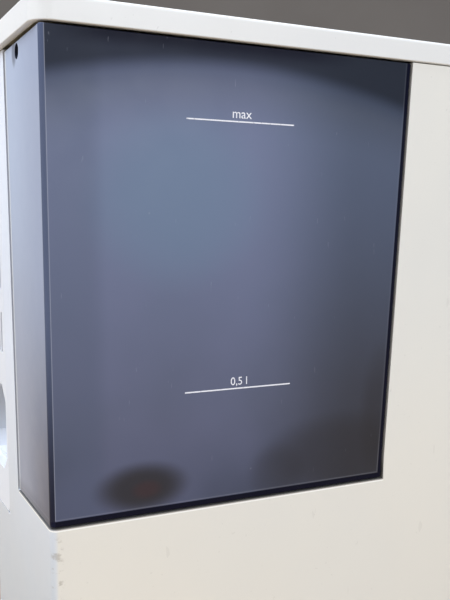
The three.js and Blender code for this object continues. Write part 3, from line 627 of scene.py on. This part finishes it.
def build_tank():
    """The open tank: outside, round top rim, inside and floor, with small fillets all round.
    Its rim dips at the inner rear corner, and its ends are bored for the handle's pivots."""
    low, high = TANK_LOW, TANK_HIGH
    steps = 6

    def ring(inset, z, radius=TANK_CORNER, dip=0.0):
        right = right_at(z) - inset
        plan = round_plan(low.x + inset, right, front_at(z) + inset, rear_at(z) - inset,
                          max(radius, 0.0004), steps)
        points = []
        for x, y in plan:
            share = min(max((x - right + 0.011) / 0.011, 0), 1) if y > 0 else 0
            points.append(Vector((x, y, z - dip * share * share)))
        return points

    foot, top, wall, floor = low.z, high.z, 0.0025, 0.005
    rim_dip, bore_radius, outlet_radius = 0.0013, 0.0035, 0.007
    heights = [foot + (top - foot) * i / 12 for i in range(1, 12)]
    rings = [ring(0.0008, foot), ring(0.00025, foot + 0.00025), ring(0, foot + 0.0008)]
    rings += [ring(0, z) for z in heights]
    rings += [ring(0, top - 0.0006, dip=rim_dip), ring(0.0002, top - 0.0002, dip=rim_dip)]
    rings += [ring(0.0006, top, dip=rim_dip), ring(wall - 0.0005, top, 0.001, rim_dip)]
    rings += [ring(wall, top - 0.0005, 0.001, rim_dip)]
    rings += [ring(wall, z, 0.001) for z in reversed(heights)]
    rings += [ring(wall, foot + floor + 0.002, 0.001), ring(wall + 0.002, foot + floor, 0.001)]
    vertices, faces = loft(rings, True, True)
    tank = mesh_piece("tank_body", vertices, faces, MATERIALS["smoked_plastic"], "tank")
    bpy.ops.mesh.primitive_cylinder_add(
        vertices=32, radius=bore_radius, depth=0.4, location=PIVOT, rotation=(math.pi / 2, 0, 0))
    cut_away(tank, bpy.context.object)
    bpy.ops.mesh.primitive_cylinder_add(
        vertices=48, radius=outlet_radius, depth=0.02, location=(VALVE.x, VALVE.y, TANK_FOOT))
    cut_away(tank, bpy.context.object)
    steady_normals(tank)
    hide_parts("tank_shell")


build_tank()


def build_spring():
    """The valve's coil spring, built as one fixed coil; the real spring shortens towards its cage
    as the poppet lifts.
    """
    low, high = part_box("valve_spring")
    wire, sides, turns, steps = 0.00048, 8, 2.5, 24
    reach = (high.x - low.x) / 2 - 0.0005
    rings = []
    for i in range(int(turns * steps) + 1):
        angle = 2 * math.pi * i / steps
        share = i / (turns * steps)
        middle = low.z + wire + (high.z - low.z - 2 * wire) * share
        outward = Vector((math.cos(angle), math.sin(angle), 0))
        rings.append([Vector((VALVE.x, VALVE.y, middle))
                      + outward * (reach + wire * math.cos(2 * math.pi * k / sides))
                      + Vector((0, 0, wire * math.sin(2 * math.pi * k / sides)))
                      for k in range(sides)])
    vertices, faces = loft(rings, True, True)
    spring = mesh_piece("spring_coils", vertices, faces, MATERIALS["zinc_steel"], "tank")
    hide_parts("valve_spring")
    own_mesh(spring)


build_spring()


# ---------- level marks ----------
MARK_MIDDLE = 0.0812
MARK_LENGTH = 0.0555


def print_ink():
    s = Shader("print_ink", IOR=1.45)
    wear = s.smooth(s.noise(500, 2), 0.30, 0.42)
    s.set("Base Color", s.mix(wear, srgb(190, 192, 204), srgb(236, 238, 246)))
    s.set("Roughness", s.smooth(s.noise(300, 2), 0.3, 0.7, 0.45, 0.6))
    return s.material


def level_mark(name, text, height, size, lift, ink):
    """A printed line with its word above it, proud of the side face by a film's thickness."""
    x = TANK_LOW.x - 0.00006
    half, depth = 0.0003, 0.0003
    first, last = MARK_MIDDLE - MARK_LENGTH / 2, MARK_MIDDLE + MARK_LENGTH / 2
    line = [(first, -half), (last, -half), (last, half), (first, half)]
    near = [Vector((x, y, height + z)) for y, z in line]
    far = [Vector((x + depth, y, height + z)) for y, z in line]
    vertices, faces = loft([near, far], True, True)
    mesh_piece(name + "_line", vertices, faces, ink, "tank", smooth=False)

    curve = bpy.data.curves.new(name + "_word", "FONT")
    curve.body = text
    curve.size = size
    curve.align_x = "CENTER"
    curve.extrude = 0.00003
    curve.materials.append(ink)
    word = bpy.data.objects.new(name + "_word", curve)
    bpy.context.scene.collection.objects.link(word)
    word.matrix_world = Matrix((
        (0, 0, -1, x), (-1, 0, 0, MARK_MIDDLE), (0, 1, 0, height + lift), (0, 0, 0, 1)))
    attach(word, "tank")


def build_marks():
    ink = print_ink()
    level_mark("mark_max", "max", 0.2974, 0.0060, 0.0016, ink)
    level_mark("mark_half_litre", "0,5 l", 0.1740, 0.0053, 0.0017, ink)


build_marks()


# ---------- front marks ----------
FASCIA_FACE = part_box("front_fascia")[0].y
LENS_LOW, LENS_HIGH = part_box("display_lens")
KNOB_LOW, KNOB_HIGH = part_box("selector_knob")
BUTTON_LOW, BUTTON_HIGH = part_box("start_button")

# The lit bars of each figure, in the order top, upper right, lower right, foot, lower left,
# upper left, middle.
FIGURES = {"0": "1111110", "3": "1111001"}


def lit_display(name, colour):
    s = Shader(name)
    s.set("Base Color", srgb(12, 30, 30))
    s.set("Emission Color", s.mix(s.noise(700, 2), colour, scaled(colour, 0.8)))
    s.base.inputs["Emission Strength"].default_value = 1.4
    s.set("Roughness", s.smooth(s.noise(90, 2), 0.3, 0.7, 0.2, 0.3))
    return s.material


def front_marks(name, outlines, face, material, body):
    """Thin raised marks on a face that looks to the front; outlines are lists of (x, z)."""
    vertices, faces = [], []
    for outline in outlines:
        rings = [[Vector((x, face - depth, z)) for x, z in outline] for depth in (0.0, 0.0001)]
        points, sides = loft(rings, True, True)
        start = len(vertices)
        vertices += points
        faces += [tuple(start + i for i in side) for side in sides]
    return mesh_piece(name, vertices, faces, material, body, smooth=False)


def bar(x, z, width, height, turn=0.0):
    corners = [(-1, -1), (1, -1), (1, 1), (-1, 1)]
    made = []
    for a, b in corners:
        u, v = a * width / 2, b * height / 2
        made.append((x + u * math.cos(turn) - v * math.sin(turn),
                     z + u * math.sin(turn) + v * math.cos(turn)))
    return made


def figure(text, x, z, width, height, thick):
    half = height / 2
    bars = [
        bar(x, z + half, width - thick, thick),
        bar(x + width / 2, z + half / 2, thick, half - thick),
        bar(x + width / 2, z - half / 2, thick, half - thick),
        bar(x, z - half, width - thick, thick),
        bar(x - width / 2, z - half / 2, thick, half - thick),
        bar(x - width / 2, z + half / 2, thick, half - thick),
        bar(x, z, width - thick, thick),
    ]
    return [b for b, lit in zip(bars, FIGURES[text]) if lit == "1"]


def build_front():
    """A minutes display, a tick scale round the knob, and a ring and bar on the start button."""
    middle = (LENS_LOW + LENS_HIGH) / 2
    outlines = []
    for text, place in (("0", -0.0255), ("3", -0.0095), ("0", 0.0095), ("0", 0.0255)):
        outlines += figure(text, middle.x + place, middle.z, 0.0088, 0.0170, 0.0015)
    outlines += [bar(middle.x, middle.z + side * 0.004, 0.0015, 0.0015) for side in (-1, 1)]
    front_marks("display_figures", outlines, LENS_LOW.y, lit_display("lit_display",
                srgb(120, 232, 210)), "cabinet")

    ink = MATERIALS["cream_plastic"]
    knob = (KNOB_LOW + KNOB_HIGH) / 2
    ticks = []
    for i in range(11):
        angle = math.radians(225 - 27 * i)
        reach = 0.0208
        ticks.append(bar(knob.x + reach * math.cos(angle), knob.z + reach * math.sin(angle),
                         0.0026, 0.0006 if i % 5 else 0.0011, angle))
    front_marks("knob_scale", ticks, FASCIA_FACE, ink, "cabinet")

    button = (BUTTON_LOW + BUTTON_HIGH) / 2
    marks = [bar(button.x, button.z + 0.0030, 0.0009, 0.0040)]
    for i in range(20):
        angle = math.radians(90 + 33 + 294 * (i + 0.5) / 20)
        marks.append(bar(button.x + 0.0042 * math.cos(angle), button.z + 0.0042 * math.sin(angle),
                         0.0009, 0.0012, angle))
    front_marks("start_mark", marks, BUTTON_LOW.y, MATERIALS["dark_plastic"], "start_button")


build_front()


# ---------- room ----------
def add_area(name, place, target, size, power, colour):
    data = bpy.data.lights.new(name, "AREA")
    data.shape = "RECTANGLE"
    data.size, data.size_y = size
    data.energy = power
    data.color = colour
    lamp = bpy.data.objects.new(name, data)
    lamp.location = place
    lamp.visible_camera = False
    lamp.rotation_euler = (Vector(target) - Vector(place)).to_track_quat("-Z", "Y").to_euler()
    bpy.context.scene.collection.objects.link(lamp)


def build_room():
    bpy.ops.mesh.primitive_plane_add(size=8, location=(0, 0, -0.0002))
    floor = bpy.context.object
    floor.name = "floor"
    s = Shader("floor_paint")
    s.set("Base Color", s.mix(s.noise(3, 3), srgb(172, 154, 130), srgb(186, 168, 144)))
    s.set("Roughness", s.smooth(s.noise(8, 3), 0.3, 0.7, 0.6, 0.75))
    floor.data.materials.append(s.material)

    bpy.ops.mesh.primitive_plane_add(
        size=4, location=(2.7, -1.5, 1.7), rotation=(math.pi / 2, 0, math.radians(63.5)))
    wall = bpy.context.object
    wall.name = "backdrop"
    s = Shader("backdrop_paint")
    s.set("Base Color", s.mix(s.noise(1.2, 2), srgb(112, 106, 102), srgb(150, 146, 142)))
    s.set("Roughness", s.smooth(s.noise(5, 3), 0.3, 0.7, 0.7, 0.85))
    wall.data.materials.append(s.material)

    world = bpy.data.worlds.new("studio")
    bpy.context.scene.world = world
    world.use_nodes = True
    back = world.node_tree.nodes["Background"]
    back.inputs["Color"].default_value = (0.77, 0.80, 0.86, 1)
    back.inputs["Strength"].default_value = 0.72

    add_area("window", (0.1, 0.8, 1.1), (-0.05, 0.17, 0.25), (1.0, 0.8), 14, (0.96, 1.0, 1.07))
    add_area("side_fill", (-1.9, -0.25, 1.15), (0, 0, 0.2), (1.2, 1.2), 20.5, (0.95, 1.0, 1.07))
    add_area("top_fill", (0.3, -0.3, 1.9), (0, 0, 0.2), (1.5, 1.5), 12, (1.0, 1.0, 1.02))


build_room()
bpy.context.scene.view_settings.view_transform = "Standard"
